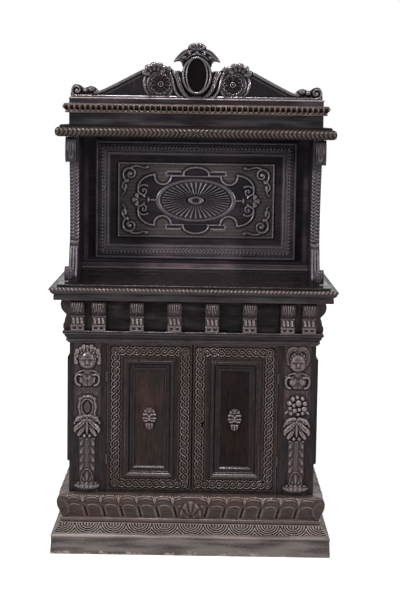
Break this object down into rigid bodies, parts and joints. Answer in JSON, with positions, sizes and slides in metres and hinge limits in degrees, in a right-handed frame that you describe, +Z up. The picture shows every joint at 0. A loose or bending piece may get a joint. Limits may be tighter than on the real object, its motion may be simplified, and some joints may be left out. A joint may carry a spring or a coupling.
{
  "type": "credenza",
  "caption": "Carved dark wood credenza: cupboard with hinged doors and frieze drawer under a counter, with a raised niche back, shelf and pediment.",
  "frame": {"origin": "middle of the outline on the floor", "axes": "+X to the right seen from the front, +Y to the back, +Z up"},
  "size_m": [1.0588, 0.5204, 1.9],
  "materials": {
    "black_wood": "ebonised and waxed, worn on the edges",
    "inner_wood": "plain oiled boards",
    "old_iron": "dark forged iron"
  },
  "bodies": {
    "carcass": {"architrave": "black_wood", "back_board": "inner_wood", "back_panel": "black_wood", "back_strip": "black_wood", "bottom_board": "inner_wood", "bracket_left": "black_wood", "bracket_right": "black_wood", "cartouche": "black_wood", "corbel_outer_left": "black_wood", "corbel_outer_right": "black_wood", "corbel_side_back_left": "black_wood", "corbel_side_back_right": "black_wood", "corbel_side_front_left": "black_wood", "corbel_side_front_right": "black_wood", "corbel_stile_left": "black_wood", "corbel_stile_right": "black_wood", "counter_moulding": "black_wood", "counter_top": "black_wood", "dentil_cornice": "black_wood", "drawer_rail": "black_wood", "entablature": "black_wood", "gadroon_moulding": "black_wood", "herm_left": "black_wood", "herm_right": "black_wood", "hinge_pin_lower_left": "old_iron", "hinge_pin_lower_right": "old_iron", "hinge_pin_upper_left": "old_iron", "hinge_pin_upper_right": "old_iron", "inner_shelf": "inner_wood", "panel_frame": "black_wood", "pediment": "black_wood", "plinth": "black_wood", "shelf_board": "black_wood", "side_left": "black_wood", "side_panel_left": "black_wood", "side_panel_right": "black_wood", "side_right": "black_wood", "stile_left": "black_wood", "stile_right": "black_wood", "upper_back": "black_wood"},
    "left_door": {"door_frame_left": "black_wood", "door_moulding_left": "black_wood", "door_panel_left": "black_wood", "hinge_knuckle_lower_left": "old_iron", "hinge_knuckle_upper_left": "old_iron", "mask_pull_left": "black_wood"},
    "right_door": {"door_frame_right": "black_wood", "door_moulding_right": "black_wood", "door_panel_right": "black_wood", "hinge_knuckle_lower_right": "old_iron", "hinge_knuckle_upper_right": "old_iron", "lock_case": "old_iron", "mask_pull_right": "black_wood"},
    "drawer": {"corbel_drawer_1": "black_wood", "corbel_drawer_2": "black_wood", "corbel_drawer_3": "black_wood", "corbel_drawer_4": "black_wood", "drawer_box": "inner_wood", "drawer_front": "black_wood"},
    "lock_bolt": {"lock_bolt": "old_iron"}
  },
  "joints": [
    {"name": "left_door_hinge", "type": "hinge", "parent": "carcass", "child": "left_door", "pos_m": [-0.3192, -0.1941, 0.5], "axis": [0, 0, -1], "range_deg": [0, 105]},
    {"name": "right_door_hinge", "type": "hinge", "parent": "carcass", "child": "right_door", "pos_m": [0.3192, -0.1941, 0.5], "axis": [0, 0, 1], "range_deg": [0, 105]},
    {"name": "drawer_slide", "type": "slide", "parent": "carcass", "child": "drawer", "axis": [0, -1, 0], "range_m": [0, 0.3]},
    {"name": "lock_bolt_slide", "type": "slide", "parent": "right_door", "child": "lock_bolt", "axis": [-1, 0, 0], "range_m": [0, 0.012]}
  ]
}
